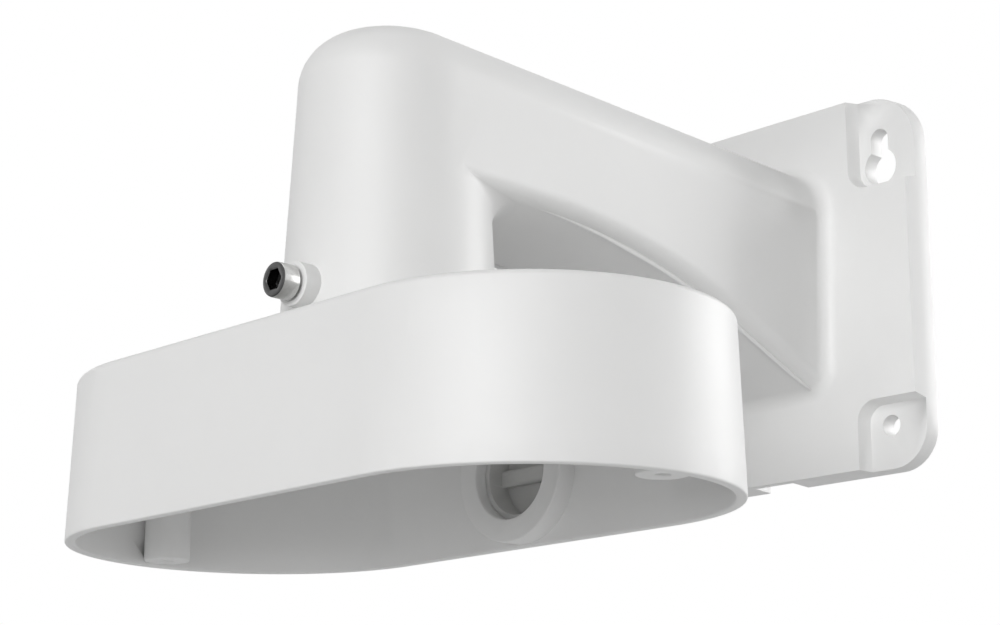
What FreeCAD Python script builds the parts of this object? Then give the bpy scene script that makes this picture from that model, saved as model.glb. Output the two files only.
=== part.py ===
import FreeCAD, Part
import math
import os
import Sketcher

# Wall bracket for a long two-lens dome camera.
# Five pieces: the cast bracket, the cast cap, the lock screw,
# the conduit plug and its sealing washer. Lengths in millimetres.
# X points out of the wall, Z points up, the wall plane is X = 0 and
# the origin is the middle of the back of the wall plate.

doc = FreeCAD.newDocument("CameraWallBracket")
V = FreeCAD.Vector

# Sizes of the object, each with its meaning
sheet = doc.addObject("Spreadsheet::Sheet", "Sizes")

SIZES = [
    ("plate_width", 107.6, "wall plate, side to side at its back"),
    ("plate_height", 110.6, "wall plate, bottom to top at its back"),
    ("plate_depth", 9.5, "wall plate, wall to front face"),
    ("plate_draft", 3.6, "degrees the plate sides lean in"),
    ("plate_corner", 12.0, "radius of the plate's lower corners"),
    ("plate_crown", 15.5, "radius of the plate's upper corners"),
    ("plate_wall", 2.6, "thickness of the plate's rim walls"),
    ("plate_skin", 2.9, "thickness of the plate's front wall"),
    ("ear_floor", 5.0, "thickness left under each screw point"),
    ("ear_side", 33.0, "middle line to the step beside an ear"),
    ("ear_up", 27.3, "plate middle up to the upper ear's step"),
    ("ear_down", 35.2, "plate middle down to the lower ear's step"),
    ("ear_round", 6.0, "radius in the corner of each ear step"),
    ("ear_draft", 14.0, "degrees the ear steps lean"),
    ("hole_gap_wide", 82.8, "between screw points, side to side"),
    ("hole_gap_high", 85.0, "between screw points, up and down"),
    ("hole_radius", 3.0, "radius of the screw holes and slots"),
    ("key_radius", 5.5, "radius of the round part of a keyhole"),
    ("key_drop", 8.6, "slot end down to the keyhole's round part"),
    ("notch_width", 14.0, "cable notch in the plate's lower wall"),
    ("notch_depth", 7.0, "how far the notch runs from the wall"),
    ("reach", 156.7, "wall to the middle of the neck and cap"),
    ("neck_radius", 27.8, "outer radius at the neck's lower end"),
    ("neck_lean", 3.05, "degrees the neck narrows upward"),
    ("neck_low", -40.6, "height of the neck's lower end"),
    ("neck_top", 42.5, "height of the top over the neck's middle"),
    ("neck_wall", 3.5, "wall of the neck above the thread"),
    ("bore_bevel", 4.5, "bevel at the top of the neck's bore"),
    ("thread_radius", 23.9, "radius of the neck's screw thread"),
    ("thread_depth", 20.0, "depth of the thread in the neck"),
    ("arm_root_low", 21.4, "half width at the plate, foot of the arm"),
    ("arm_root_high", 25.1, "half width at the plate, head of the arm"),
    ("arm_foot", -42.0, "height where the arm's sides are set out"),
    ("arm_head", 46.0, "upper height where they are set out"),
    ("arm_sink", 0.04, "how far the arm's sides start in the neck"),
    ("arm_wall", 3.6, "wall of the arm, above and below"),
    ("hollow_width", 39.2, "width of the hollow inside the arm"),
    ("hollow_past", 2.5, "how far the hollow runs past the neck's middle"),
    ("arm_fall", 2.6, "degrees the top falls toward the wall"),
    ("arm_under", 0.4, "height of the underside at the neck"),
    ("arm_break", 87.0, "where level and sloped undersides meet"),
    ("arm_slope", 21.5, "degrees the underside falls at the plate"),
    ("arm_sweep", 225.0, "radius of the underside's long curve"),
    ("arm_top_round", 13.6, "rounding of the arm's upper edges"),
    ("arm_low_round", 4.4, "rounding of the arm's lower edges"),
    ("root_round", 4.5, "fillet between the arm and the plate"),
    ("boss_radius", 5.6, "radius of the lock screw's boss"),
    ("boss_reach", 31.0, "neck middle to the boss's end"),
    ("boss_start", 24.6, "neck middle to the boss's hidden start"),
    ("boss_level", -27.1, "height of the lock screw"),
    ("lock_radius", 3.0, "radius of the lock screw's thread"),
    ("lock_play", 0.05, "space around the lock screw's thread"),
    ("lock_gap", 0.8, "boss's end to the lock screw's head"),
    ("lock_head_radius", 4.8, "radius of the lock screw's head"),
    ("lock_head_length", 5.0, "length of the lock screw's head"),
    ("lock_key", 5.0, "across the flats of the hexagon socket"),
    ("lock_key_depth", 3.0, "depth of the hexagon socket"),
    ("lock_edge", 0.4, "bevel of the screw's edges"),
    ("cap_length", 200.0, "cap, end to end at the lower rim"),
    ("cap_width", 101.2, "cap, front to back at the lower rim"),
    ("cap_height", 42.5, "cap, lower rim to top"),
    ("cap_draft", 1.95, "degrees the cap's wall leans in upward"),
    ("cap_wall", 2.8, "wall of the cap"),
    ("cap_roof", 3.2, "thickness of the cap's top"),
    ("cap_edge", 0.9, "bevel of the cap's top edge"),
    ("stub_play", 0.2, "space between stub and neck thread"),
    ("stub_height", 16.0, "height of the cap's threaded stub"),
    ("stub_bore", 19.0, "radius of the cable way in the stub"),
    ("post_gap", 183.0, "between the two camera screw posts"),
    ("post_radius", 6.2, "radius of the camera screw posts"),
    ("post_lift", 0.8, "the posts end this far above the rim"),
    ("post_hole", 1.7, "radius of the hole in each post"),
    ("post_hole_depth", 12.0, "depth of the hole in each post"),
    ("conduit_radius", 12.6, "radius of the conduit hole"),
    ("conduit_rise", 19.2, "conduit hole above the cap's rim"),
    ("conduit_boss", 18.6, "radius of the boss inside the cap"),
    ("conduit_boss_in", 8.9, "boss's face inward of the cap's rear rim"),
    ("conduit_seat_out", 0.6, "outer seat outward of the cap's rear rim"),
    ("conduit_seat", 17.4, "radius of the flat seat outside"),
    ("washer_thick", 1.5, "thickness of the sealing washer"),
    ("washer_outer", 15.6, "outer radius of the sealing washer"),
    ("washer_play", 0.2, "space between washer and plug thread"),
    ("plug_flange", 16.0, "radius of the plug's flange"),
    ("plug_flange_thick", 2.6, "thickness of the plug's flange"),
    ("plug_play", 0.1, "space between plug and conduit thread"),
    ("plug_stem", 6.0, "length of the plug's stem"),
    ("plug_wall", 1.5, "wall of the plug's stem"),
    ("plug_cup", 0.8, "cup's floor beyond the flange's inner face"),
    ("plug_slot_width", 2.4, "width of the coin slot"),
    ("plug_slot_length", 22.0, "length of the coin slot"),
    ("plug_slot_depth", 2.0, "depth of the coin slot"),
    ("plug_bar_width", 4.4, "width of the bar behind the slot"),
    ("plug_bar_depth", 2.0, "how far the bar stands in the cup"),
    ("spare", 20.0, "how far the cutting outlines run past the metal"),
]

for row, (alias, size, meaning) in enumerate(SIZES, start=1):
    sheet.set("A%d" % row, alias)
    sheet.set("B%d" % row, str(size))
    sheet.set("C%d" % row, meaning)
    sheet.setAlias("B%d" % row, alias)
doc.recompute()

ALIASES = {alias for alias, _, _ in SIZES}

# Two places count as one when they lie closer than this
TOUCH = 0.01


def ex(text):
    """Write words such as reach + cap_wall as references to the sizes."""
    words = text.replace("(", " ( ").replace(")", " ) ").split()
    line = " ".join("Sizes." + w if w in ALIASES else w for w in words)
    return line.replace("tan (", "tan(").replace("sqrt (", "sqrt(")


def val(text):
    """Work out one such expression as a plain number."""
    return float(sheet.evalExpression(ex(text)))


def new_body(label):
    body = doc.addObject("PartDesign::Body", label)
    body.Label = label
    return body


def new_sketch(body, label, plane, offset=None):
    """A sketch on one of the body's origin planes, moved by offset."""
    sketch = body.newObject("Sketcher::SketchObject", label)
    for feature in body.Origin.OriginFeatures:
        if feature.Role == plane:
            sketch.AttachmentSupport = (feature, [""])
    sketch.MapMode = "FlatFace"
    if offset is not None:
        sketch.setExpression("AttachmentOffset.Base.z", ex(offset))
    doc.recompute()
    return sketch


def pin(sketch, geo, end, x, y):
    """Hold one point of a sketch at two expressions."""
    for kind, text in (("DistanceX", x), ("DistanceY", y)):
        index = sketch.addConstraint(
            Sketcher.Constraint(kind, -1, 1, geo, end, val(text)))
        sketch.setExpression("Constraints[%d]" % index, ex(text))


def outline(sketch, corners):
    """Closed outline of straight lines; a corner given a third entry
    is rounded with that radius."""
    count = len(corners)
    points = [V(val(c[0]), val(c[1]), 0) for c in corners]
    starts = list(points)
    ends = list(points)
    rounds = {}
    for i, corner in enumerate(corners):
        if len(corner) < 3:
            continue
        here = points[i]
        back = (points[i - 1] - here).normalize()
        ahead = (points[(i + 1) % count] - here).normalize()
        half = back.getAngle(ahead) / 2
        radius = val(corner[2])
        run = radius / math.tan(half)
        ends[i] = here + back * run
        starts[i] = here + ahead * run
        middle = here + (back + ahead).normalize() * (radius / math.sin(half))
        rounds[i] = (middle, radius)
    lines = []
    for i in range(count):
        j = (i + 1) % count
        lines.append(sketch.addGeometry(
            Part.LineSegment(starts[i], ends[j]), False))
    for i in range(count):
        before = lines[i - 1]
        after = lines[i]
        if i not in rounds:
            sketch.addConstraint(Sketcher.Constraint(
                "Coincident", before, 2, after, 1))
            pin(sketch, after, 1, corners[i][0], corners[i][1])
            continue
        middle, radius = rounds[i]
        a = math.atan2(ends[i].y - middle.y, ends[i].x - middle.x)
        b = math.atan2(starts[i].y - middle.y, starts[i].x - middle.x)
        forward = (b - a) % (2 * math.pi) < math.pi
        low, high = (a, b) if forward else (b, a)
        arc = sketch.addGeometry(Part.ArcOfCircle(
            Part.Circle(middle, V(0, 0, 1), radius), low, high), False)
        first, last = (1, 2) if forward else (2, 1)
        sketch.addConstraint(Sketcher.Constraint(
            "Tangent", before, 2, arc, first))
        sketch.addConstraint(Sketcher.Constraint(
            "Tangent", arc, last, after, 1))
        index = sketch.addConstraint(
            Sketcher.Constraint("Radius", arc, radius))
        sketch.setExpression("Constraints[%d]" % index, ex(corners[i][2]))
        mark = sketch.addGeometry(Part.Point(points[i]), True)
        for line in (before, after):
            sketch.addConstraint(Sketcher.Constraint(
                "PointOnObject", mark, 1, line))
        pin(sketch, mark, 1, corners[i][0], corners[i][1])
    return sketch


def circle(sketch, x, y, radius):
    geo = sketch.addGeometry(
        Part.Circle(V(val(x), val(y), 0), V(0, 0, 1), val(radius)), False)
    pin(sketch, geo, 3, x, y)
    index = sketch.addConstraint(
        Sketcher.Constraint("Radius", geo, val(radius)))
    sketch.setExpression("Constraints[%d]" % index, ex(radius))
    return sketch


def long_round(sketch, length, width):
    """Racetrack outline around the sketch's origin, along its Y."""
    radius = "( " + width + " ) / 2"
    run = "( " + length + " ) / 2 - ( " + width + " ) / 2"
    r = val(radius)
    s = val(run)
    top = sketch.addGeometry(Part.ArcOfCircle(
        Part.Circle(V(val("reach"), s, 0), V(0, 0, 1), r), 0, math.pi), False)
    low = sketch.addGeometry(Part.ArcOfCircle(
        Part.Circle(V(val("reach"), -s, 0), V(0, 0, 1), r),
        math.pi, 2 * math.pi), False)
    left = sketch.addGeometry(Part.LineSegment(
        V(val("reach") - r, s, 0), V(val("reach") - r, -s, 0)), False)
    right = sketch.addGeometry(Part.LineSegment(
        V(val("reach") + r, -s, 0), V(val("reach") + r, s, 0)), False)
    for one, end, two, start in ((top, 2, left, 1), (left, 2, low, 1),
                                 (low, 2, right, 1), (right, 2, top, 1)):
        sketch.addConstraint(Sketcher.Constraint(
            "Tangent", one, end, two, start))
    pin(sketch, top, 3, "reach", run)
    pin(sketch, low, 3, "reach", "-1 * ( " + run + " )")
    index = sketch.addConstraint(Sketcher.Constraint("Radius", top, r))
    sketch.setExpression("Constraints[%d]" % index, ex(radius))
    return sketch


def feature(body, kind, label, sketch, **settings):
    """Add a sketch-based feature; settings given as text are bound."""
    made = body.newObject("PartDesign::" + kind, label)
    if sketch is not None:
        made.Profile = sketch
    for name, value in settings.items():
        if isinstance(value, str) and name != "Type":
            made.setExpression(name, ex(value))
        else:
            setattr(made, name, value)
    doc.recompute()
    return made


def combine(body, label, other, kind):
    """Fuse another body with this one, or cut it out of this one."""
    made = body.newObject("PartDesign::Boolean", label)
    made.setObjects([other])
    made.Type = kind
    doc.recompute()
    return made


def edges(shape, test):
    """Names of the edges whose bounding box passes the test."""
    return ["Edge%d" % (i + 1) for i, edge in enumerate(shape.Edges)
            if test(edge.BoundBox, edge)]


def dress(body, kind, label, base, names, size):
    """Fillet or chamfer the named edges."""
    made = body.newObject("PartDesign::" + kind, label)
    made.Base = (base, names)
    made.setExpression("Radius" if kind == "Fillet" else "Size", ex(size))
    doc.recompute()
    return made


def turned(body, kind, label, corners, base, direction, plane="XZ_Plane"):
    """Turn an outline about an axis given as a line of the sketch."""
    sketch = new_sketch(body, label + "Profile", plane)
    outline(sketch, corners)
    axis = sketch.addGeometry(
        Part.LineSegment(V(val(base[0]), val(base[1]), 0),
                         V(val(base[0]) + direction[0],
                           val(base[1]) + direction[1], 0)), True)
    pin(sketch, axis, 1, base[0], base[1])
    index = sketch.addConstraint(Sketcher.Constraint("Distance", axis, 1.0))
    sketch.addConstraint(Sketcher.Constraint(
        "Vertical" if direction[1] else "Horizontal", axis))
    made = body.newObject("PartDesign::" + kind, label)
    made.Profile = sketch
    made.ReferenceAxis = (sketch, ["Axis0"])
    made.Angle = 360.0
    doc.recompute()
    return made


# Expressions used in more than one place
NECK_AT = "( neck_radius - ( {} - neck_low ) * tan ( neck_lean ) )"
RIM = "( neck_low - cap_height )"
HALF_WIDE = "hole_gap_wide / 2"
HALF_HIGH = "hole_gap_high / 2"
LOCK_HEAD = "( reach + boss_reach + lock_gap )"
BOSS_FACE = "( cap_width / 2 - conduit_boss_in )"
SEAT_FACE = "( cap_width / 2 + conduit_seat_out )"
PLUG_FACE = "( reach - " + SEAT_FACE + " - washer_thick )"
PLUG_AXIS = "( " + RIM + " + conduit_rise )"
CUP = "( conduit_radius - plug_play - plug_wall )"
FALL = "( neck_top - {} * tan ( arm_fall ) )"
UNDER = "( arm_under + arm_wall )"
THREAD_END = "( neck_low + thread_depth )"
BORE_TOP = "( neck_top - neck_wall )"
BORE = NECK_AT.format("neck_top") + " - neck_wall"


def hollow_out(body, tag):
    """Take the cable way out of a body: the hollow of the arm and the
    neck's bore, wide for the thread and then a cone up to the top."""
    tool = new_body(tag + "_hollow")
    side_view = outline(new_sketch(tool, tag + "HollowOutline", "XZ_Plane"), [
        ("reach + hollow_past", FALL.format("-1 * hollow_past") + " - arm_wall"),
        ("-1 * spare", FALL.format("( reach + spare )") + " - arm_wall"),
        ("-1 * spare", UNDER + " - ( arm_break + spare ) * tan ( arm_slope )"),
        ("arm_break", UNDER, "arm_sweep"),
        ("reach + hollow_past", UNDER)])
    hollow = feature(tool, "Pad", tag + "Hollow", side_view,
                     Length="hollow_width", Midplane=True)
    top = val("neck_top - arm_top_round")
    names = edges(hollow.Shape, lambda b, e: b.ZMin > top
                  and b.YLength < b.XLength)
    dress(tool, "Fillet", tag + "HollowRound", hollow, names,
          "arm_top_round - arm_wall")
    turned(tool, "Revolution", tag + "Bore", [
        ("reach", "neck_low - spare"),
        ("reach + thread_radius", "neck_low - spare"),
        ("reach + thread_radius", THREAD_END),
        ("reach + " + NECK_AT.format(THREAD_END) + " - neck_wall", THREAD_END),
        ("reach + " + BORE, BORE_TOP + " - bore_bevel"),
        ("reach + " + BORE + " - bore_bevel", BORE_TOP),
        ("reach", BORE_TOP)],
        ("reach", "neck_low - spare"), (0, 1))
    combine(body, tag + "CableWay", tool, "Cut")


# Bracket casting: wall plate, hollow arm and neck in one piece
bracket = new_body("bracket_casting")

# Arm: its sides run from the neck's full width to the plate, its rounded top
# falls a little toward the wall and its underside sweeps to the plate's foot
SIDE_AT = "( {0} + ( {1} - {0} ) * ( {2} - arm_foot ) / ( arm_head - arm_foot ) )"
ends = []
for name, place, top, low, high in (
        ("Root", "0", FALL.format("reach"), "arm_root_low", "arm_root_high"),
        ("Tip", "reach", "neck_top",
         "( " + NECK_AT.format("arm_foot") + " - arm_sink )",
         "( " + NECK_AT.format("arm_head") + " - arm_sink )")):
    wide = SIDE_AT.format(low, high, top)
    ends.append(outline(new_sketch(bracket, "Arm" + name, "YZ_Plane", place), [
        ("-1 * " + low, "arm_foot"),
        (low, "arm_foot"),
        (wide, top, "arm_top_round"),
        ("-1 * " + wide, top, "arm_top_round")]))
block = feature(bracket, "AdditiveLoft", "ArmBlock", ends[0], Ruled=True)
block.Sections = [ends[1]]
doc.recompute()
below = outline(new_sketch(bracket, "ArmUnderLine", "XZ_Plane"), [
    ("reach + 3 * spare", "arm_under"),
    ("arm_break", "arm_under", "arm_sweep"),
    ("-1 * spare", "arm_under - ( arm_break + spare ) * tan ( arm_slope )"),
    ("-1 * spare", "arm_foot - 2 * spare"),
    ("reach + 3 * spare", "arm_foot - 2 * spare")])
swept = feature(bracket, "Pocket", "ArmUnder", below, Type="ThroughAll",
                Midplane=True)
low = val("arm_under")
names = edges(swept.Shape, lambda b, e: b.XLength > TOUCH
              and b.YLength < b.XLength / 2 and b.ZMax < low + TOUCH)
dress(bracket, "Fillet", "ArmLowRound", swept, names, "arm_low_round")

# Wall plate with round corners, its sides leaning in a little
plate = outline(new_sketch(bracket, "PlateOutline", "YZ_Plane"), [
    ("-1 * plate_width / 2", "-1 * plate_height / 2", "plate_corner"),
    ("plate_width / 2", "-1 * plate_height / 2", "plate_corner"),
    ("plate_width / 2", "plate_height / 2", "plate_crown"),
    ("-1 * plate_width / 2", "plate_height / 2", "plate_crown")])
joined = feature(bracket, "Pad", "Plate", plate, Length="plate_depth",
                 TaperAngle="-1 * plate_draft")

# Soft fillet all round where the arm grows out of the plate
front = val("plate_depth")
names = edges(joined.Shape, lambda b, e: abs(b.XMin - front) < TOUCH
              and b.XLength < TOUCH and abs(b.YMin) < val("ear_side")
              and abs(b.YMax) < val("ear_side"))
dress(bracket, "Fillet", "RootRound", joined, names, "root_round")

# Four corners set back to ears that take the wall screws
for name, side, up, down in (("UpperNear", "", "ear_up", "plate_height"),
                             ("UpperFar", "-1 * ", "ear_up", "plate_height"),
                             ("LowerNear", "", "-1 * ear_down",
                              "-1 * plate_height"),
                             ("LowerFar", "-1 * ", "-1 * ear_down",
                              "-1 * plate_height")):
    ear = outline(new_sketch(bracket, name + "Ear", "YZ_Plane",
                             "plate_depth"), [
        (side + "ear_side", up, "ear_round"),
        (side + "plate_width", up),
        (side + "plate_width", down),
        (side + "ear_side", down)])
    feature(bracket, "Pocket", name + "Step", ear,
            Length="plate_depth - ear_floor", TaperAngle="-1 * ear_draft")

# Keyholes above, round holes below
rounds = new_sketch(bracket, "ScrewRounds", "YZ_Plane")
slots = new_sketch(bracket, "ScrewSlots", "YZ_Plane")
ends = new_sketch(bracket, "SlotEnds", "YZ_Plane")
for side in ("", "-1 * "):
    circle(rounds, side + HALF_WIDE, HALF_HIGH + " - key_drop", "key_radius")
    circle(rounds, side + HALF_WIDE, "-1 * " + HALF_HIGH, "hole_radius")
    circle(ends, side + HALF_WIDE, HALF_HIGH, "hole_radius")
    outline(slots, [
        (side + HALF_WIDE + " - hole_radius", HALF_HIGH + " - key_drop"),
        (side + HALF_WIDE + " + hole_radius", HALF_HIGH + " - key_drop"),
        (side + HALF_WIDE + " + hole_radius", HALF_HIGH),
        (side + HALF_WIDE + " - hole_radius", HALF_HIGH)])
for name, sketch in (("Rounds", rounds), ("Slots", slots), ("Ends", ends)):
    feature(bracket, "Pocket", "Screw" + name + "Cut", sketch,
            Type="ThroughAll", Midplane=True)

# The plate is a shell, open to the wall, thick only at the ears
SHELL_SIDE = "( plate_width / 2 - plate_wall )"
SHELL_END = "( plate_height / 2 - plate_wall )"
SHELL_EAR = "( ear_side - plate_wall )"
SHELL_UP = "( ear_up - plate_wall )"
SHELL_DOWN = "( ear_down - plate_wall )"
shell = outline(new_sketch(bracket, "PlateHollow", "YZ_Plane"), [
    (SHELL_SIDE, SHELL_UP),
    (SHELL_EAR, SHELL_UP),
    (SHELL_EAR, SHELL_END),
    ("-1 * " + SHELL_EAR, SHELL_END),
    ("-1 * " + SHELL_EAR, SHELL_UP),
    ("-1 * " + SHELL_SIDE, SHELL_UP),
    ("-1 * " + SHELL_SIDE, "-1 * " + SHELL_DOWN),
    ("-1 * " + SHELL_EAR, "-1 * " + SHELL_DOWN),
    ("-1 * " + SHELL_EAR, "-1 * " + SHELL_END),
    (SHELL_EAR, "-1 * " + SHELL_END),
    (SHELL_EAR, "-1 * " + SHELL_DOWN),
    (SHELL_SIDE, "-1 * " + SHELL_DOWN)])
feature(bracket, "Pocket", "PlateShell", shell,
        Length="plate_depth - plate_skin", Reversed=True)

# Cable notch in the plate's lower wall
notch = outline(new_sketch(bracket, "NotchOutline", "YZ_Plane"), [
    ("-1 * notch_width / 2", "-1 * plate_height / 2 - spare"),
    ("notch_width / 2", "-1 * plate_height / 2 - spare"),
    ("notch_width / 2", "-1 * " + SHELL_END + " + plate_wall"),
    ("-1 * notch_width / 2", "-1 * " + SHELL_END + " + plate_wall")])
feature(bracket, "Pocket", "CableNotch", notch,
        Length="notch_depth", Reversed=True)

# The cable way runs from the plate's hollow through the arm
hollow_out(bracket, "Arm")

# Neck: a cone that narrows upward and is well rounded on top
neck = new_body("neck_form")
turned(neck, "Revolution", "NeckCone", [
    ("reach", "neck_low"),
    ("reach + neck_radius", "neck_low"),
    ("reach + " + NECK_AT.format("( arm_head + spare )"), "arm_head + spare"),
    ("reach", "arm_head + spare")],
    ("reach", "neck_low"), (0, 1))
above = outline(new_sketch(neck, "NeckTopLine", "XZ_Plane"), [
    ("reach + 3 * spare", FALL.format("-3 * spare")),
    ("reach + 3 * spare", "arm_head + 2 * spare"),
    ("-1 * spare", "arm_head + 2 * spare"),
    ("-1 * spare", FALL.format("( reach + spare )"))])
crown = feature(neck, "Pocket", "NeckTop", above, Type="ThroughAll",
                Midplane=True)
rim = val(FALL.format("neck_radius"))
names = edges(crown.Shape, lambda b, e: b.ZMin > rim and b.XLength > TOUCH)
dress(neck, "Fillet", "NeckCrown", crown, names, "arm_top_round")

# Boss for the lock screw, low on the front of the neck
boss = circle(new_sketch(neck, "BossCircle", "YZ_Plane",
                         "reach + boss_start"),
              "0", "boss_level", "boss_radius")
feature(neck, "Pad", "LockBoss", boss, Length="boss_reach - boss_start")
hollow_out(neck, "Neck")

# Hole for the lock screw through boss and neck wall
lock_hole = circle(new_sketch(neck, "LockHoleCircle", "YZ_Plane",
                              "reach + boss_reach"),
                   "0", "boss_level", "lock_radius + lock_play")
feature(neck, "Pocket", "LockHole", lock_hole,
        Length="boss_reach - thread_radius + lock_radius")
combine(bracket, "NeckOnArm", neck, "Fuse")

# Cap casting: a racetrack hood, open below, leaning in upward
cap = new_body("cap_casting")
hood = long_round(new_sketch(cap, "HoodOutline", "XY_Plane", RIM),
                  "cap_length", "cap_width")
hooded = feature(cap, "Pad", "Hood", hood, Length="cap_height",
                 TaperAngle="-1 * cap_draft")
peak = val("neck_low")
names = edges(hooded.Shape, lambda b, e: b.ZMin > peak - TOUCH)
dress(cap, "Chamfer", "HoodEdge", hooded, names, "cap_edge")
inner = long_round(new_sketch(cap, "HoodInside", "XY_Plane", RIM),
                   "cap_length - 2 * cap_wall", "cap_width - 2 * cap_wall")
feature(cap, "Pocket", "HoodHollow", inner, Reversed=True,
        Length="cap_height - cap_roof", TaperAngle="-1 * cap_draft")

# Threaded stub that screws up into the neck, with the cable way
stub = circle(new_sketch(cap, "StubCircle", "XY_Plane",
                         "neck_low - cap_roof / 2"),
              "reach", "0", "thread_radius - stub_play")
feature(cap, "Pad", "Stub", stub, Length="stub_height + cap_roof / 2")
way = circle(new_sketch(cap, "StubWayCircle", "XY_Plane"),
             "reach", "0", "stub_bore")
feature(cap, "Pocket", "StubWay", way, Type="ThroughAll", Midplane=True)

# Two posts for the camera's screws, one at each end
POST_END = "( " + RIM + " + post_lift )"
posts = new_sketch(cap, "PostCircles", "XY_Plane", POST_END)
pilots = new_sketch(cap, "PostHoleCircles", "XY_Plane", POST_END)
for side in ("", "-1 * "):
    circle(posts, "reach", side + "post_gap / 2", "post_radius")
    circle(pilots, "reach", side + "post_gap / 2", "post_hole")
feature(cap, "Pad", "Posts", posts,
        Length="cap_height - post_lift - cap_roof / 2")
feature(cap, "Pocket", "PostHoles", pilots, Reversed=True,
        Length="post_hole_depth")

# Conduit entry in the rear wall: boss inside, flat seat outside
WALL_MIDDLE = "cap_width / 2 - cap_wall / 2"
entry = circle(new_sketch(cap, "EntryCircle", "YZ_Plane",
                          "reach - " + BOSS_FACE),
               "0", PLUG_AXIS, "conduit_boss")
feature(cap, "Pad", "EntryBoss", entry, Reversed=True,
        Length=WALL_MIDDLE + " - " + BOSS_FACE)
seat = circle(new_sketch(cap, "SeatCircle", "YZ_Plane",
                         "reach - " + SEAT_FACE),
              "0", PLUG_AXIS, "conduit_seat")
feature(cap, "Pad", "EntrySeat", seat,
        Length=SEAT_FACE + " - ( " + WALL_MIDDLE + " )")
hole = circle(new_sketch(cap, "EntryHoleCircle", "YZ_Plane",
                         "reach - " + BOSS_FACE),
              "0", PLUG_AXIS, "conduit_radius")
feature(cap, "Pocket", "EntryHole", hole,
        Length=SEAT_FACE + " - " + BOSS_FACE + " + spare")

# Lock screw: socket head screw that stops the cap from turning
lock = new_body("lock_screw")
TIP = "( reach + thread_radius - stub_play + lock_play )"
screw = turned(lock, "Revolution", "ScrewBody", [
    (TIP, "boss_level"),
    (LOCK_HEAD + " + lock_head_length", "boss_level"),
    (LOCK_HEAD + " + lock_head_length", "boss_level + lock_head_radius"),
    (LOCK_HEAD, "boss_level + lock_head_radius"),
    (LOCK_HEAD, "boss_level + lock_radius"),
    (TIP, "boss_level + lock_radius")],
    (TIP, "boss_level"), (1, 0))
tip = val(TIP)
face = val(LOCK_HEAD + " + lock_head_length")
names = edges(screw.Shape, lambda b, e: b.XLength < TOUCH
              and b.YLength > val("lock_radius")
              and (abs(b.XMin - tip) < TOUCH or abs(b.XMin - face) < TOUCH))
dress(lock, "Chamfer", "ScrewBevels", screw, names, "lock_edge")
socket = outline(new_sketch(lock, "SocketOutline", "YZ_Plane",
                            LOCK_HEAD + " + lock_head_length"), [
    (side + "lock_key / 2", "boss_level" + up + "lock_key / 2 / sqrt ( 3 )")
    if side else ("0", "boss_level" + up + "lock_key / sqrt ( 3 )")
    for side, up in (("1 * ", " - "), ("1 * ", " + "), ("", " + "),
                     ("-1 * ", " + "), ("-1 * ", " - "), ("", " - "))])
feature(lock, "Pocket", "Socket", socket, Length="lock_key_depth")

# Conduit plug: flange outside, short threaded cup inside
plug = new_body("conduit_plug")
turned(plug, "Revolution", "PlugBody", [
    (PLUG_FACE + " - plug_flange_thick", PLUG_AXIS),
    (PLUG_FACE + " + plug_cup", PLUG_AXIS),
    (PLUG_FACE + " + plug_cup", PLUG_AXIS + " + " + CUP),
    (PLUG_FACE + " + washer_thick + plug_stem", PLUG_AXIS + " + " + CUP),
    (PLUG_FACE + " + washer_thick + plug_stem",
     PLUG_AXIS + " + conduit_radius - plug_play"),
    (PLUG_FACE, PLUG_AXIS + " + conduit_radius - plug_play"),
    (PLUG_FACE, PLUG_AXIS + " + plug_flange"),
    (PLUG_FACE + " - plug_flange_thick", PLUG_AXIS + " + plug_flange")],
    (PLUG_FACE, PLUG_AXIS), (1, 0))
bar = outline(new_sketch(plug, "BarOutline", "YZ_Plane", PLUG_FACE), [
    ("-1 * " + CUP + " - plug_wall / 2", PLUG_AXIS + " - plug_bar_width / 2"),
    (CUP + " + plug_wall / 2", PLUG_AXIS + " - plug_bar_width / 2"),
    (CUP + " + plug_wall / 2", PLUG_AXIS + " + plug_bar_width / 2"),
    ("-1 * " + CUP + " - plug_wall / 2", PLUG_AXIS + " + plug_bar_width / 2")])
feature(plug, "Pad", "CupBar", bar, Length="plug_cup + plug_bar_depth")
coin = outline(new_sketch(plug, "CoinOutline", "YZ_Plane",
                          PLUG_FACE + " - plug_flange_thick"), [
    ("-1 * plug_slot_length / 2", PLUG_AXIS + " - plug_slot_width / 2"),
    ("plug_slot_length / 2", PLUG_AXIS + " - plug_slot_width / 2"),
    ("plug_slot_length / 2", PLUG_AXIS + " + plug_slot_width / 2"),
    ("-1 * plug_slot_length / 2", PLUG_AXIS + " + plug_slot_width / 2")])
feature(plug, "Pocket", "CoinSlot", coin, Reversed=True,
        Length="plug_slot_depth")

# Sealing washer between the plug's flange and the cap
washer = new_body("plug_washer")
turned(washer, "Revolution", "WasherRing", [
    (PLUG_FACE, PLUG_AXIS + " + conduit_radius + washer_play"),
    (PLUG_FACE + " + washer_thick",
     PLUG_AXIS + " + conduit_radius + washer_play"),
    (PLUG_FACE + " + washer_thick", PLUG_AXIS + " + washer_outer"),
    (PLUG_FACE, PLUG_AXIS + " + washer_outer")],
    (PLUG_FACE, PLUG_AXIS), (1, 0))

# Every feature is checked, then each piece is written to its own file
doc.recompute()
for thing in doc.Objects:
    if "Invalid" in thing.State or "Error" in thing.State:
        raise RuntimeError("not built: " + thing.Name)
os.makedirs("parts", exist_ok=True)
for piece in (bracket, cap, lock, plug, washer):
    shape = piece.Shape
    if shape.isNull() or not shape.isValid() or len(shape.Solids) != 1:
        raise RuntimeError("not sound: " + piece.Label)
    shape.exportStep("parts/" + piece.Label + ".step")
    print(piece.Label, round(shape.Volume), shape.BoundBox)
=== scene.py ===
import math

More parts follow.
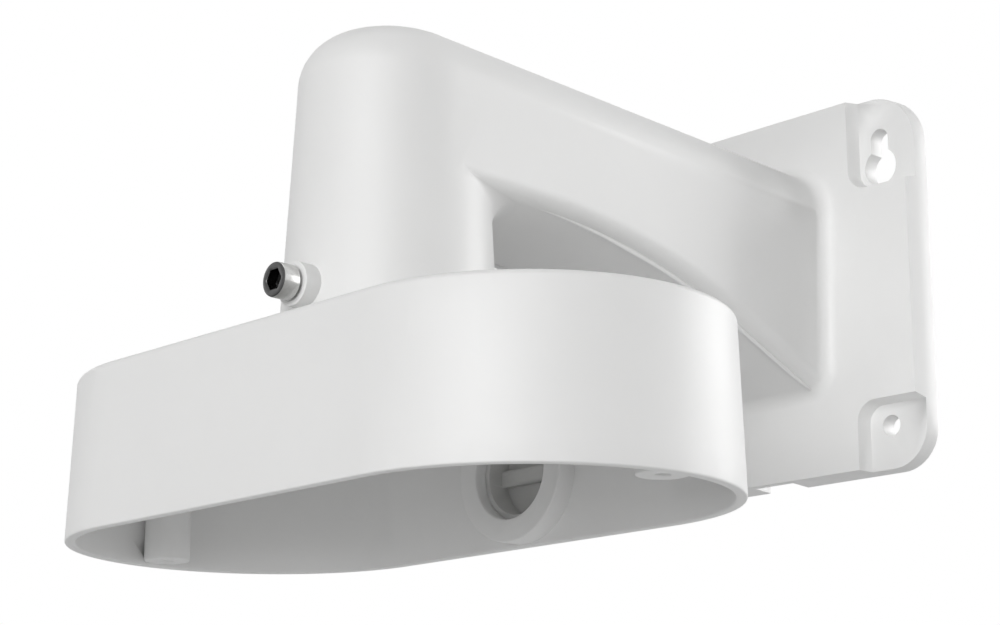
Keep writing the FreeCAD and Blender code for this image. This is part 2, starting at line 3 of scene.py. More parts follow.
import bmesh
import bpy
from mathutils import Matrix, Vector


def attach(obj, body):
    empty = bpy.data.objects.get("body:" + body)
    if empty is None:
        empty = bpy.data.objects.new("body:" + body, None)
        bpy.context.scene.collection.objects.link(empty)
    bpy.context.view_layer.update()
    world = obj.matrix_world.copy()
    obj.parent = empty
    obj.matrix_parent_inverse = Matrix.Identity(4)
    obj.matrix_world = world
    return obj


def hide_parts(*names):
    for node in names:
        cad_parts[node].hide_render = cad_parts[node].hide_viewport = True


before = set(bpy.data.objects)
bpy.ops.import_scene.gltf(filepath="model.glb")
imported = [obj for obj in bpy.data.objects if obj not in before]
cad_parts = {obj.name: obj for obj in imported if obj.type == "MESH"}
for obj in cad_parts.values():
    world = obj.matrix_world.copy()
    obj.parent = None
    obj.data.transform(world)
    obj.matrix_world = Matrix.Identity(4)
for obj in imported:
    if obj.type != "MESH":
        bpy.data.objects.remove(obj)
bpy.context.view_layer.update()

# Bracket casting: wall plate, hollow arm and neck, die-cast in aluminium in one piece. Its sharp edges are
# broken by tumbling and it wears a white powder coat, fired to a smooth semi-gloss skin with a faint
# orange peel. It hangs on four wall screws.

PAINT_WHITE = (0.80, 0.80, 0.795)
PAINT_SHADE = 0.975
PAINT_SMOOTH = 0.40
PAINT_ROUGH = 0.50
CLOUDS_PER_METRE = 28.0
CLOUD_LOW = 0.3
CLOUD_HIGH = 0.7
PEEL_SIZE = 0.0016
PEEL_HEIGHT = 0.000006
GRAIN_SIZE = 0.00022
GRAIN_HEIGHT = 0.000002


def powder_coat(name, colour):
    """White powder coat: orange peel, fine grain and a slightly uneven gloss."""
    material = bpy.data.materials.new(name)
    material.use_nodes = True
    nodes = material.node_tree.nodes
    links = material.node_tree.links
    paint = nodes["Principled BSDF"]
    paint.inputs["Specular IOR Level"].default_value = 0.5
    place = nodes.new("ShaderNodeTexCoord")

    peel = nodes.new("ShaderNodeTexNoise")
    peel.inputs["Scale"].default_value = 1 / PEEL_SIZE
    peel.inputs["Detail"].default_value = 1.0
    grain = nodes.new("ShaderNodeTexNoise")
    grain.inputs["Scale"].default_value = 1 / GRAIN_SIZE
    grain.inputs["Detail"].default_value = 2.0
    cloud = nodes.new("ShaderNodeTexNoise")
    cloud.inputs["Scale"].default_value = CLOUDS_PER_METRE
    cloud.inputs["Detail"].default_value = 3.0
    for texture in (peel, grain, cloud):
        links.new(place.outputs["Object"], texture.inputs["Vector"])

    shade = nodes.new("ShaderNodeValToRGB")
    shade.color_ramp.elements[0].position = CLOUD_LOW
    shade.color_ramp.elements[0].color = tuple(c * PAINT_SHADE for c in colour) + (1,)
    shade.color_ramp.elements[1].position = CLOUD_HIGH
    shade.color_ramp.elements[1].color = tuple(colour) + (1,)
    links.new(cloud.outputs["Fac"], shade.inputs["Fac"])
    links.new(shade.outputs["Color"], paint.inputs["Base Color"])

    gloss = nodes.new("ShaderNodeMapRange")
    gloss.inputs["From Min"].default_value = CLOUD_LOW
    gloss.inputs["From Max"].default_value = CLOUD_HIGH
    gloss.inputs["To Min"].default_value = PAINT_SMOOTH
    gloss.inputs["To Max"].default_value = PAINT_ROUGH
    links.new(cloud.outputs["Fac"], gloss.inputs["Value"])
    links.new(gloss.outputs["Result"], paint.inputs["Roughness"])

    fine = nodes.new("ShaderNodeBump")
    fine.inputs["Distance"].default_value = GRAIN_HEIGHT
    links.new(grain.outputs["Fac"], fine.inputs["Height"])
    coarse = nodes.new("ShaderNodeBump")
    coarse.inputs["Distance"].default_value = PEEL_HEIGHT
    links.new(peel.outputs["Fac"], coarse.inputs["Height"])
    links.new(fine.outputs["Normal"], coarse.inputs["Normal"])
    links.new(coarse.outputs["Normal"], paint.inputs["Normal"])
    return material


MERGED_WITHIN = 0.000001
COUNTS_AS_FLAT = math.radians(0.2)
SHARP_OUTSIDE = math.radians(40)
SHARP_INSIDE = math.radians(28)


def own_copy(node, name, material):
    """The real shape of a node as a clean mesh of its own, with its outer edges marked to be broken."""
    piece = bpy.data.objects.new(name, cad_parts[node].data.copy())
    bpy.context.scene.collection.objects.link(piece)
    work = bmesh.new()
    work.from_mesh(piece.data)
    bmesh.ops.remove_doubles(work, verts=work.verts, dist=MERGED_WITHIN)
    bmesh.ops.dissolve_limit(work, angle_limit=COUNTS_AS_FLAT, verts=work.verts, edges=work.edges)
    broken = work.edges.layers.float.new("bevel_weight_edge")
    for edge in work.edges:
        if len(edge.link_faces) != 2:
            continue
        turn = edge.calc_face_angle_signed(0.0)
        edge[broken] = 1.0 if turn > SHARP_OUTSIDE else 0.0
        edge.smooth = turn > -SHARP_INSIDE
    for face in work.faces:
        face.smooth = True
        face.material_index = 0
    work.to_mesh(piece.data)
    work.free()
    piece.data.materials.clear()
    piece.data.materials.append(material)
    return piece


BREAK_STEPS = 3


def break_edges(piece, width):
    """Round the marked edges a little."""
    edge = piece.modifiers.new("broken_edges", "BEVEL")
    edge.width = width
    edge.segments = BREAK_STEPS
    edge.limit_method = "WEIGHT"
    edge.use_clamp_overlap = True
    edge.harden_normals = True


def add_strip(piece, sections, creases=()):
    """Join closed sections of equal count into one skin, sharp at the creases, and add it to the piece."""
    work = bmesh.new()
    work.from_mesh(piece.data)
    rings = [[work.verts.new(point) for point in section] for section in sections]
    skin = []
    for first, second in zip(rings, rings[1:]):
        for i in range(len(first)):
            j = (i + 1) % len(first)
            skin.append(work.faces.new((first[i], first[j], second[j], second[i])))
            skin[-1].smooth = True
        for i in creases:
            work.edges.get((first[i], second[i])).smooth = False
    skin += [work.faces.new(ring) for ring in (rings[0], rings[-1])]
    bmesh.ops.recalc_face_normals(work, faces=skin)
    work.to_mesh(piece.data)
    work.free()


BROKEN_EDGE = 0.0005

paint = powder_coat("bracket_powder_coat", PAINT_WHITE)
bracket = own_copy("bracket_casting", "painted_bracket", paint)

# The hollow corner between the neck's back and the arm's underside is softened as a rolling ball would do it.
# The ball runs round the back of the neck, first under the arm's flat and then, dwindling, round the arm's
# rounded lower edge, where the blend runs out.
NECK_AT = 0.1567
NECK_RADIUS = 0.0278
NECK_FOOT = -0.0406
NECK_LEAN = math.radians(3.05)
ARM_UNDER = 0.0004
ARM_LOW_ROUND = 0.0044
ROOT_HALF_AT_ZERO = 0.02317
ROOT_WIDENS = 0.042
CORNER_BALL = 0.006
BALL_AT_END = 0.0002
BALL_STEPS = 48
BALL_FLAT_SHARE = 0.5
BALL_TURN = math.radians(84)
BALL_BURIED = 1.55
SETTLE_ROUNDS = 4
ARC_STEPS = 12
SKIN = 0.00001


def neck_radius(level):
    """Radius of the leaning neck at a height."""
    return NECK_RADIUS - (level - NECK_FOOT) * math.tan(NECK_LEAN)


def arm_half(x, level):
    """Half the arm's width where its side stands, which narrows a little toward the plate."""
    share = x / NECK_AT
    return (ROOT_HALF_AT_ZERO + ROOT_WIDENS * level) * (1 - share) + neck_radius(level) * share


def rolled_section(along):
    """Section of the blend where the ball stands, from -1 on one side of the arm to 1 on the other."""
    side = math.copysign(1, along)
    rest = max(0.0, (abs(along) - BALL_FLAT_SHARE) / (1 - BALL_FLAT_SHARE))
    turn = rest * BALL_TURN
    ball = CORNER_BALL + (BALL_AT_END - CORNER_BALL) * rest ** 2 * (3 - 2 * rest)
    swing = ARM_LOW_ROUND + ball
    corner_z = ARM_UNDER + ARM_LOW_ROUND
    ball_z = corner_z - swing * math.cos(turn)
    reach = neck_radius(ball_z) + ball / math.cos(NECK_LEAN)
    ball_x = 0.0
    for _ in range(SETTLE_ROUNDS):
        corner_y = arm_half(NECK_AT + ball_x, corner_z) - ARM_LOW_ROUND
        if rest:
            ball_y = side * (corner_y + swing * math.sin(turn))
        else:
            ball_y = corner_y * along / BALL_FLAT_SHARE
        ball_x = -math.sqrt(max(reach ** 2 - ball_y ** 2, 0))
    to_arm = Vector((0, -side * math.sin(turn), math.cos(turn)))
    middle = Vector((NECK_AT + ball_x, ball_y, ball_z))
    out = Vector((ball_x, ball_y, 0)).normalized()
    to_neck = -(out * math.cos(NECK_LEAN) + Vector((0, 0, math.sin(NECK_LEAN))))
    arc = [middle + to_arm.slerp(to_neck, i / ARC_STEPS) * (ball + SKIN) for i in range(ARC_STEPS + 1)]
    deep = (to_arm + to_neck).normalized()
    return arc + [middle + deep * (ball * BALL_BURIED)]


add_strip(bracket, [rolled_section((step - BALL_STEPS) / BALL_STEPS) for step in range(2 * BALL_STEPS + 1)],
          creases=(0, ARC_STEPS))

# A fine parting bead from the die runs along each lower edge of the arm, where its rounding meets the
# underside. It starts low at the plate and fades out toward the neck.
BEAD_HALF = 0.0006
BEAD_PROUD = 0.0011
BEAD_BURIED = 0.0005
BEAD_CORNER = 0.0003
BEAD_FROM = 0.011
BEAD_TO = 0.124
BEAD_STEPS = 40
BEAD_START = 0.2
BEAD_RISE_STEPS = 3
BEAD_FADE_STEPS = 12
ARM_BREAK = 0.087
ARM_SLOPE = math.radians(21.5)
ARM_SWEEP = 0.225


def underside(x):
    """Height and slope of the arm's underside: level, then an arc, then a straight fall to the plate."""
    run = ARM_SWEEP * math.tan(ARM_SLOPE / 2)
    start = ARM_BREAK + run
    if x > start:
        return ARM_UNDER, 0.0
    if x < ARM_BREAK - run * math.cos(ARM_SLOPE):
        return ARM_UNDER - (ARM_BREAK - x) * math.tan(ARM_SLOPE), math.tan(ARM_SLOPE)
    back = start - x
    rise = math.sqrt(ARM_SWEEP ** 2 - back ** 2)
    return ARM_UNDER - ARM_SWEEP + rise, back / rise


def bead_section(side, step):
    """Section of the bead at a step from the plate, square to the underside, with its base in the metal."""
    x = BEAD_FROM + (BEAD_TO - BEAD_FROM) * step / BEAD_STEPS
    z, slope = underside(x)
    middle = Vector((x, side * (arm_half(x, z) - ARM_LOW_ROUND), z))
    down = Vector((slope, 0, -1)).normalized()
    proud = BEAD_PROUD * min(1.0, (BEAD_STEPS - step) / BEAD_FADE_STEPS, step / BEAD_RISE_STEPS + BEAD_START)
    outline = ((-BEAD_HALF, -BEAD_BURIED), (-BEAD_HALF, proud - BEAD_CORNER),
               (BEAD_CORNER - BEAD_HALF, proud), (BEAD_HALF - BEAD_CORNER, proud),
               (BEAD_HALF, proud - BEAD_CORNER), (BEAD_HALF, -BEAD_BURIED))
    return [middle + Vector((0, across, 0)) + down * low for across, low in outline]


for side in (-1, 1):
    add_strip(bracket, [bead_section(side, step) for step in range(BEAD_STEPS + 1)])

break_edges(bracket, BROKEN_EDGE)
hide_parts("bracket_casting")
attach(bracket, "root")

# Cap casting: the oval hood that the camera hangs in, cast and painted like the bracket. Its threaded stub
# screws up into the neck; it stays open below and carries two posts for the camera's screws. The rear wall
# has a pipe entry.

cap_paint = powder_coat("cap_powder_coat", PAINT_WHITE)
cap = own_copy("cap_casting", "painted_cap", cap_paint)
break_edges(cap, BROKEN_EDGE)
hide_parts("cap_casting")
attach(cap, "root")

# Lock screw: a socket head screw of steel, its head turned bright at the side. Its end and socket are painted
# dark:
# painted shade for the dark reflection on the end face and the shadow in the socket. It runs in the neck's
# boss and its tip presses on the cap's stub.

SCREW_AXIS = Vector((0, 0, -0.0271))
SCREW_TIP = 0.18045
SHANK_END = 0.1885
HEAD_END = 0.1935
HEAD_RADIUS = 0.0044
SHANK_RADIUS = 0.0027
HEAD_EDGE = 0.0005
EDGE_MIDDLE = 0.3
SOCKET_FLAT = 0.0025
SOCKET_MOUTH = 0.003
SOCKET_DEPTH = 0.003
SOCKET_POINT = 0.0006
SOCKET_SIDES = 6
SCREW_SIDES = 72
SCREW_CREASE = math.radians(30)
SCREW_PITCH = 0.001
SCREW_TURNS = 7
SCREW_RIDGE = 0.0003
SCREW_LEAD = 0.0005
BRIGHT_STEEL = (0.62, 0.62, 0.61)
# Painted shade: the head's end face and socket are darkened in colour for the dark reflection and shadow
# there, not a skin of the steel
PAINTED_SHADE_COLOUR = (0.085, 0.085, 0.085)
PAINTED_SHADE_WITHIN = 0.003125
PAINTED_SHADE_BORDER = 0.00005
STEEL_SMOOTH = 0.16
STEEL_ROUGH = 0.28
STAIN_DARK = 0.75
STAIN_LIGHT = 1.1
STAINS_PER_METRE = 900.0
MARKS_PER_METRE = 900.0
MARK_WAVER = 2.0
MARK_HEIGHT = 0.000004


def turned_steel_painted_shade(name, bright, painted_shade, axis, painted_shade_from, painted_shade_within):
    """Steel turned round a line along X, painted dark beyond a place on it and near its axis: painted shade
    for the dark reflection on the end face and the shadow in the socket.
    """
    material = bpy.data.materials.new(name)
    material.use_nodes = True
    nodes = material.node_tree.nodes
    links = material.node_tree.links
    steel = nodes["Principled BSDF"]
    steel.inputs["Metallic"].default_value = 1.0
    place = nodes.new("ShaderNodeTexCoord")
    centre = nodes.new("ShaderNodeVectorMath")
    centre.operation = "SUBTRACT"
    centre.inputs[1].default_value = axis
    links.new(place.outputs["Object"], centre.inputs[0])

    along = nodes.new("ShaderNodeSeparateXYZ")
    links.new(place.outputs["Object"], along.inputs["Vector"])
    beyond = nodes.new("ShaderNodeMapRange")
    beyond.inputs["From Min"].default_value = painted_shade_from - PAINTED_SHADE_BORDER
    beyond.inputs["From Max"].default_value = painted_shade_from + PAINTED_SHADE_BORDER
    links.new(along.outputs["X"], beyond.inputs["Value"])
    across = nodes.new("ShaderNodeVectorMath")
    across.operation = "MULTIPLY"
    across.inputs[1].default_value = (0, 1, 1)
    links.new(centre.outputs["Vector"], across.inputs[0])
    reach = nodes.new("ShaderNodeVectorMath")
    reach.operation = "LENGTH"
    links.new(across.outputs["Vector"], reach.inputs[0])
    within = nodes.new("ShaderNodeMath")
    within.operation = "LESS_THAN"
    within.inputs[1].default_value = painted_shade_within
    links.new(reach.outputs["Value"], within.inputs[0])
    either = nodes.new("ShaderNodeMath")
    either.operation = "MAXIMUM"
    links.new(beyond.outputs["Result"], either.inputs[0])
    links.new(within.outputs["Value"], either.inputs[1])
    # Mix in the painted shade colour on the end face and near the axis, where the socket is
    skin = nodes.new("ShaderNodeMix")
    skin.data_type = "RGBA"
    skin.inputs["A"].default_value = tuple(bright) + (1,)
    skin.inputs["B"].default_value = tuple(painted_shade) + (1,)
    links.new(either.outputs["Value"], skin.inputs["Factor"])

    stain = nodes.new("ShaderNodeTexNoise")
    stain.inputs["Scale"].default_value = STAINS_PER_METRE
    stain.inputs["Detail"].default_value = 4.0
    links.new(centre.outputs["Vector"], stain.inputs["Vector"])
    shade = nodes.new("ShaderNodeValToRGB")
    shade.color_ramp.elements[0].color = (STAIN_DARK, STAIN_DARK, STAIN_DARK, 1)
    shade.color_ramp.elements[1].color = (STAIN_LIGHT, STAIN_LIGHT, STAIN_LIGHT, 1)
    links.new(stain.outputs["Fac"], shade.inputs["Fac"])
    stained = nodes.new("ShaderNodeMix")
    stained.data_type = "RGBA"
    stained.blend_type = "MULTIPLY"
    stained.inputs["Factor"].default_value = 1.0
    links.new(skin.outputs["Result"], stained.inputs["A"])
    links.new(shade.outputs["Color"], stained.inputs["B"])
    links.new(stained.outputs["Result"], steel.inputs["Base Color"])
    gloss = nodes.new("ShaderNodeMapRange")
    gloss.inputs["To Min"].default_value = STEEL_SMOOTH
    gloss.inputs["To Max"].default_value = STEEL_ROUGH
    links.new(stain.outputs["Fac"], gloss.inputs["Value"])
    links.new(gloss.outputs["Result"], steel.inputs["Roughness"])

    rings = nodes.new("ShaderNodeTexWave")
    rings.wave_type = "RINGS"
    rings.rings_direction = "X"
    rings.inputs["Scale"].default_value = MARKS_PER_METRE
    rings.inputs["Distortion"].default_value = MARK_WAVER
    links.new(centre.outputs["Vector"], rings.inputs["Vector"])
    marks = nodes.new("ShaderNodeBump")
    marks.inputs["Distance"].default_value = MARK_HEIGHT
    links.new(rings.outputs["Fac"], marks.inputs["Height"])
    links.new(marks.outputs["Normal"], steel.inputs["Normal"])
    return material


def spin(name, profile, axis, sides):
    """A closed piece turned about a line along X from (x, radius) pairs, from pole to pole."""
    work = bmesh.new()
    rings = []
    for x, radius in profile:
        middle = axis + Vector((x, 0, 0))
        if radius == 0:
            rings.append([work.verts.new(middle)])
            continue
        angles = [2 * math.pi * i / sides for i in range(sides)]
        rings.append([work.verts.new(middle + Vector((0, math.cos(angle), math.sin(angle))) * radius)
                      for angle in angles])
    for first, second in zip(rings, rings[1:]):
        for i in range(sides):
            j = (i + 1) % sides
            corners = []
            for vert in (first[i % len(first)], second[i % len(second)],
                         second[j % len(second)], first[j % len(first)]):
                if vert not in corners:
                    corners.append(vert)
            work.faces.new(corners).smooth = True
    bmesh.ops.recalc_face_normals(work, faces=work.faces)
    mesh = bpy.data.meshes.new(name)
    work.to_mesh(mesh)
    work.free()
    piece = bpy.data.objects.new(name, mesh)
    bpy.context.scene.collection.objects.link(piece)
    return piece


def press_socket(piece):
    """Widen the round bore in the screw's head to a hexagon and keep the screw's edges sharp."""
    half_side = math.pi / SOCKET_SIDES
    work = bmesh.new()
    work.from_mesh(piece.data)
    for vert in work.verts:
        on_axis = SCREW_AXIS + Vector((vert.co.x, 0, 0))
        across = vert.co - on_axis
        if abs(across.length - SOCKET_FLAT) < MERGED_WITHIN and vert.co.x > SHANK_END:
            angle = math.atan2(across.z, across.y) % (2 * half_side)
            wide = SOCKET_FLAT / math.cos(angle - half_side)
            vert.co = on_axis + across.normalized() * wide
    for edge in work.edges:
        if len(edge.link_faces) == 2:
            edge.smooth = edge.calc_face_angle(0.0) < SCREW_CREASE
    work.to_mesh(piece.data)
    work.free()


# The screw's thread is a small ridge, wound along the stem at the pitch of its standard, and so is the plug's
THREAD_STEPS = 64
RIDGE_SIDES = 6


def thread_tool():
    """Node group that winds a ridge round the Z axis."""
    group = bpy.data.node_groups.new("thread", "GeometryNodeTree")
    for label, kind in (("Radius", "NodeSocketFloat"), ("Pitch", "NodeSocketFloat"),
                        ("Turns", "NodeSocketFloat"), ("Ridge", "NodeSocketFloat"),
                        ("Material", "NodeSocketMaterial")):
        group.interface.new_socket(label, in_out="INPUT", socket_type=kind)
    group.interface.new_socket("Geometry", in_out="OUTPUT", socket_type="NodeSocketGeometry")
    nodes = group.nodes
    links = group.links
    given = nodes.new("NodeGroupInput")
    result = nodes.new("NodeGroupOutput")

    length = nodes.new("ShaderNodeMath")
    length.operation = "MULTIPLY"
    links.new(given.outputs["Pitch"], length.inputs[0])
    links.new(given.outputs["Turns"], length.inputs[1])
    helix = nodes.new("GeometryNodeCurveSpiral")
    helix.inputs["Resolution"].default_value = THREAD_STEPS
    links.new(given.outputs["Turns"], helix.inputs["Rotations"])
    links.new(given.outputs["Radius"], helix.inputs["Start Radius"])
    links.new(given.outputs["Radius"], helix.inputs["End Radius"])
    links.new(length.outputs["Value"], helix.inputs["Height"])
    upright = nodes.new("GeometryNodeSetCurveNormal")
    upright.mode = "Z_UP"
    links.new(helix.outputs["Curve"], upright.inputs["Curve"])
    profile = nodes.new("GeometryNodeCurvePrimitiveCircle")
    profile.inputs["Resolution"].default_value = RIDGE_SIDES
    links.new(given.outputs["Ridge"], profile.inputs["Radius"])
    ridge = nodes.new("GeometryNodeCurveToMesh")
    ridge.inputs["Fill Caps"].default_value = True
    links.new(upright.outputs["Curve"], ridge.inputs["Curve"])
    links.new(profile.outputs["Curve"], ridge.inputs["Profile Curve"])
    real = nodes.new("GeometryNodeRealizeInstances")
    links.new(ridge.outputs["Mesh"], real.inputs["Geometry"])
    coat = nodes.new("GeometryNodeSetMaterial")
    links.new(real.outputs["Geometry"], coat.inputs["Geometry"])
    links.new(given.outputs["Material"], coat.inputs["Material"])
    links.new(coat.outputs["Geometry"], result.inputs["Geometry"])
    return group


THREAD = thread_tool()


def add_thread(piece, radius, pitch, turns, ridge, start, material):
    """Wind a thread along +X from the given point and join it to the piece."""
    holder = bpy.data.objects.new("ridge", bpy.data.meshes.new("ridge"))
    bpy.context.scene.collection.objects.link(holder)
    winding = holder.modifiers.new("thread", "NODES")
    winding.node_group = THREAD
    values = {"Radius": radius, "Pitch": pitch, "Turns": turns, "Ridge": ridge, "Material": material}
    for socket in THREAD.interface.items_tree:
        if socket.in_out == "INPUT":
            winding[socket.identifier] = values[socket.name]
    ready = holder.evaluated_get(bpy.context.evaluated_depsgraph_get())
    wound = bpy.data.meshes.new_from_object(ready)
    bpy.data.objects.remove(holder)
    work = bmesh.new()
    work.from_mesh(piece.data)
    count = len(work.verts)
    work.from_mesh(wound)
    work.verts.ensure_lookup_table()
    for vert in work.verts[count:]:
        x, y, z = vert.co
        vert.co = Vector(start) + Vector((z, x, y))
    work.to_mesh(piece.data)
    work.free()
    bpy.data.meshes.remove(wound)


screw_steel = turned_steel_painted_shade("turned_steel_painted_shade", BRIGHT_STEEL, PAINTED_SHADE_COLOUR, SCREW_AXIS,
                           HEAD_END - HEAD_EDGE / 2, PAINTED_SHADE_WITHIN)
lock_screw = spin("socket_head_screw", [
    (SCREW_TIP, 0),
    (SCREW_TIP, SHANK_RADIUS - HEAD_EDGE),
    (SCREW_TIP + HEAD_EDGE, SHANK_RADIUS),
    (SHANK_END, SHANK_RADIUS),
    (SHANK_END, HEAD_RADIUS - HEAD_EDGE / 2),
    (SHANK_END + HEAD_EDGE / 2, HEAD_RADIUS),
    (HEAD_END - HEAD_EDGE, HEAD_RADIUS),
    (HEAD_END - HEAD_EDGE * EDGE_MIDDLE, HEAD_RADIUS - HEAD_EDGE * EDGE_MIDDLE),
    (HEAD_END, HEAD_RADIUS - HEAD_EDGE),
    (HEAD_END, SOCKET_MOUTH),
    (HEAD_END - HEAD_EDGE / 3, SOCKET_FLAT),
    (HEAD_END - SOCKET_DEPTH, SOCKET_FLAT),
    (HEAD_END - SOCKET_DEPTH - SOCKET_POINT, 0)],
    SCREW_AXIS, SCREW_SIDES)
press_socket(lock_screw)
lock_screw.data.materials.append(screw_steel)
add_thread(lock_screw, SHANK_RADIUS, SCREW_PITCH, SCREW_TURNS, SCREW_RIDGE,
           SCREW_AXIS + Vector((SCREW_TIP + SCREW_LEAD, 0, 0)), screw_steel)
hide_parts("lock_screw")
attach(lock_screw, "root")

# Conduit plug: moulded in light grey plastic with a coin slot outside and a bar inside, screwed into the
# cap's rear entry. Its mould leaves the surface finely eroded and matt.

PLUG_GREY = (0.58, 0.58, 0.57)
PLUG_ROUGH = 0.55
PLUG_GRAIN = 0.0003
PLUG_GRAIN_HEIGHT = 0.000006
PLUG_EDGE = 0.00025
PLUG_RADIUS = 0.0122
PIPE_PITCH = 0.001814
PLUG_TURNS = 3
PLUG_RIDGE = 0.0004
PLUG_THREAD_FROM = Vector((0.1056, 0, -0.0639))
MATT_SHADE = 0.94
MATT_LIGHT = 1.03
MATT_SPREAD = 0.06
PATCHES_PER_METRE = 120.0


def matt_skin(name, colour, roughness, grain_size, grain_height):
    """Plastic or rubber with the fine grain of its mould."""
    material = bpy.data.materials.new(name)
    material.use_nodes = True
    nodes = material.node_tree.nodes
    links = material.node_tree.links
    skin = nodes["Principled BSDF"]
    place = nodes.new("ShaderNodeTexCoord")
    grain = nodes.new("ShaderNodeTexNoise")
    grain.inputs["Scale"].default_value = 1 / grain_size
    grain.inputs["Detail"].default_value = 3.0
    cloud = nodes.new("ShaderNodeTexNoise")
    cloud.inputs["Scale"].default_value = PATCHES_PER_METRE
    for texture in (grain, cloud):
        links.new(place.outputs["Object"], texture.inputs["Vector"])

    shade = nodes.new("ShaderNodeValToRGB")
    shade.color_ramp.elements[0].color = tuple(c * MATT_SHADE for c in colour) + (1,)
    shade.color_ramp.elements[1].color = tuple(c * MATT_LIGHT for c in colour) + (1,)
    links.new(cloud.outputs["Fac"], shade.inputs["Fac"])
    links.new(shade.outputs["Color"], skin.inputs["Base Color"])
    gloss = nodes.new("ShaderNodeMapRange")
    gloss.inputs["To Min"].default_value = roughness - MATT_SPREAD
    gloss.inputs["To Max"].default_value = roughness + MATT_SPREAD
    links.new(cloud.outputs["Fac"], gloss.inputs["Value"])
    links.new(gloss.outputs["Result"], skin.inputs["Roughness"])
    bump = nodes.new("ShaderNodeBump")
    bump.inputs["Distance"].default_value = grain_height
    links.new(grain.outputs["Fac"], bump.inputs["Height"])
    links.new(bump.outputs["Normal"], skin.inputs["Normal"])
    return material


plug_plastic = matt_skin("light_grey_plastic", PLUG_GREY, PLUG_ROUGH, PLUG_GRAIN, PLUG_GRAIN_HEIGHT)
plug = own_copy("conduit_plug", "moulded_plug", plug_plastic)
add_thread(plug, PLUG_RADIUS, PIPE_PITCH, PLUG_TURNS, PLUG_RIDGE, PLUG_THREAD_FROM, plug_plastic)
break_edges(plug, PLUG_EDGE)
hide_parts("conduit_plug")
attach(plug, "root")

# Plug washer: a flat ring cut from black rubber sheet. The plug's flange presses it against the cap's seat
# and so keeps rain out of the pipe entry.

RUBBER_BLACK = (0.03, 0.03, 0.03)
RUBBER_ROUGH = 0.75
RUBBER_GRAIN = 0.0002
RUBBER_GRAIN_HEIGHT = 0.000008
WASHER_EDGE = 0.0002

washer_rubber = matt_skin("black_rubber", RUBBER_BLACK, RUBBER_ROUGH, RUBBER_GRAIN, RUBBER_GRAIN_HEIGHT)
washer = own_copy("plug_washer", "rubber_washer", washer_rubber)
break_edges(washer, WASHER_EDGE)
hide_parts("plug_washer")
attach(washer, "root")

# Room: a pale matt floor well below the part and a white surround. The camera, mirrors and clear bodies see
# both paler than the light that they give, and the floor is clear from below.

ROOM_WHITE = (0.86, 0.86, 0.86)
FLOOR_DROP = -0.36
FLOOR_SIDE = 5.0
FLOOR_SEEN = 0.22
FLOOR_ROUGH = 0.9
PURE_WHITE = (1, 1, 1, 1)
AIR_LIGHT = 0.02
AIR_SEEN = 1.0


def seen_directly(nodes, links):
    """Socket that is 1 on rays from the camera, a mirror or a clear body, and 0 where light falls."""
    ray = nodes.new("ShaderNodeLightPath")
    mirrored = nodes.new("ShaderNodeMath")
    mirrored.operation = "MAXIMUM"
    links.new(ray.outputs["Is Camera Ray"], mirrored.inputs[0])
    links.new(ray.outputs["Is Glossy Ray"], mirrored.inputs[1])
    through = nodes.new("ShaderNodeMath")
    through.operation = "MAXIMUM"
    links.new(mirrored.outputs["Value"], through.inputs[0])
    links.new(ray.outputs["Is Transmission Ray"], through.inputs[1])
    return through.outputs["Value"]


floor_paint = bpy.data.materials.new("floor_paint")
floor_paint.use_nodes = True
floor_nodes = floor_paint.node_tree.nodes
floor_links = floor_paint.node_tree.links
board = floor_nodes["Principled BSDF"]
board.inputs["Base Color"].default_value = ROOM_WHITE + (1,)
board.inputs["Roughness"].default_value = FLOOR_ROUGH
board.inputs["Emission Color"].default_value = PURE_WHITE
paler = floor_nodes.new("ShaderNodeMath")
paler.operation = "MULTIPLY"
paler.inputs[1].default_value = FLOOR_SEEN
floor_links.new(seen_directly(floor_nodes, floor_links), paler.inputs[0])
floor_links.new(paler.outputs["Value"], board.inputs["Emission Strength"])
below = floor_nodes.new("ShaderNodeNewGeometry")
clear = floor_nodes.new("ShaderNodeBsdfTransparent")
two_sides = floor_nodes.new("ShaderNodeMixShader")
floor_links.new(below.outputs["Backfacing"], two_sides.inputs["Fac"])
floor_links.new(board.outputs["BSDF"], two_sides.inputs[1])
floor_links.new(clear.outputs["BSDF"], two_sides.inputs[2])
floor_links.new(two_sides.outputs["Shader"], floor_nodes["Material Output"].inputs["Surface"])

floor_mesh = bpy.data.meshes.new("floor")
half = FLOOR_SIDE / 2
floor_mesh.from_pydata([(-half, -half, FLOOR_DROP), (half, -half, FLOOR_DROP),
                        (half, half, FLOOR_DROP), (-half, half, FLOOR_DROP)],
                       [], [(0, 1, 2, 3)])
floor_mesh.materials.append(floor_paint)
floor = bpy.data.objects.new("floor", floor_mesh)
bpy.context.scene.collection.objects.link(floor)

world = bpy.data.worlds.new("white_surround")
bpy.context.scene.world = world
world.use_nodes = True
world_nodes = world.node_tree.nodes
world_links = world.node_tree.links
world_nodes.clear()
air = world_nodes.new("ShaderNodeBackground")
air.inputs["Color"].default_value = PURE_WHITE
air.inputs["Strength"].default_value = AIR_LIGHT
backdrop = world_nodes.new("ShaderNodeBackground")
backdrop.inputs["Color"].default_value = PURE_WHITE
backdrop.inputs["Strength"].default_value = AIR_SEEN
choose = world_nodes.new("ShaderNodeMixShader")
world_links.new(seen_directly(world_nodes, world_links), choose.inputs["Fac"])
world_links.new(air.outputs["Background"], choose.inputs[1])
world_links.new(backdrop.outputs["Background"], choose.inputs[2])
world_out = world_nodes.new("ShaderNodeOutputWorld")
world_links.new(choose.outputs["Shader"], world_out.inputs["Surface"])

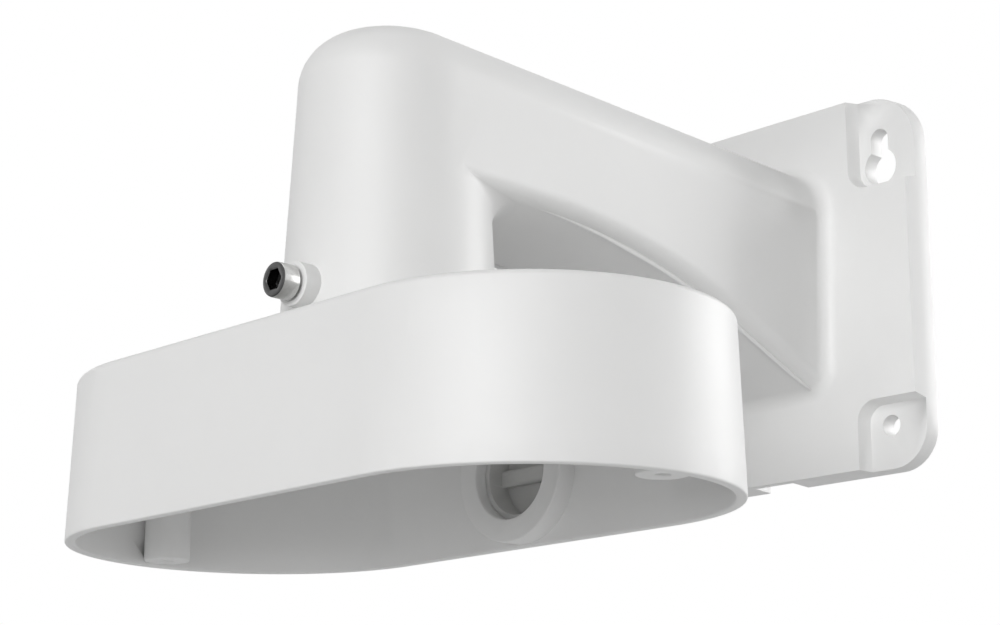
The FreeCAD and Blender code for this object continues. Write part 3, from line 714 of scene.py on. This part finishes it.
# Lamps: six square soft boxes aimed at the part, as in a product studio. Two main ones stand in front, a
# strong one behind, one above, and two weak ones at the sides.

LIT_MIDDLE = Vector((0.10, 0.0, -0.015))
LAMP_AWAY = 3.0
LAMP_SIDE = 1.8


def soft_box(name, azimuth, elevation, watts):
    """A square lamp aimed at the part; azimuth is measured from +X toward +Y."""
    lamp = bpy.data.lights.new(name, "AREA")
    lamp.shape = "SQUARE"
    lamp.size = LAMP_SIDE
    lamp.energy = watts
    holder = bpy.data.objects.new(name, lamp)
    bpy.context.scene.collection.objects.link(holder)
    round_z = math.radians(azimuth)
    up = math.radians(elevation)
    out = Vector((math.cos(round_z) * math.cos(up), math.sin(round_z) * math.cos(up), math.sin(up)))
    holder.location = LIT_MIDDLE + out * LAMP_AWAY
    holder.rotation_euler = out.to_track_quat("Z", "Y").to_euler()


soft_box("front_lamp_right", azimuth=10, elevation=15, watts=24.0)
soft_box("front_lamp_left", azimuth=30, elevation=10, watts=43.0)
soft_box("top_lamp", azimuth=0, elevation=88, watts=11.0)
soft_box("rear_lamp", azimuth=160, elevation=15, watts=54.0)
soft_box("side_lamp", azimuth=130, elevation=10, watts=14.0)
soft_box("fill_lamp", azimuth=-60, elevation=15, watts=3.0)

bpy.context.scene.view_settings.view_transform = "Standard"

# Camera: it stands in front, below and to one side of the part, and looks slightly up at it, back along the
# arm toward the wall.

LENS = 81.66
SENSOR_WIDTH = 36.0
CAMERA_AT = Vector((0.5180, 0.4182, -0.1702))
LOOK = Vector((-0.6695, -0.7001, 0.2480))
NEAREST = 0.01
FARTHEST = 50.0

camera_data = bpy.data.cameras.new("camera")
camera_data.lens = LENS
camera_data.sensor_width = SENSOR_WIDTH
camera_data.clip_start = NEAREST
camera_data.clip_end = FARTHEST
camera = bpy.data.objects.new("camera", camera_data)
camera.location = CAMERA_AT
camera.rotation_euler = LOOK.to_track_quat("-Z", "Y").to_euler()
bpy.context.scene.collection.objects.link(camera)
bpy.context.scene.camera = camera
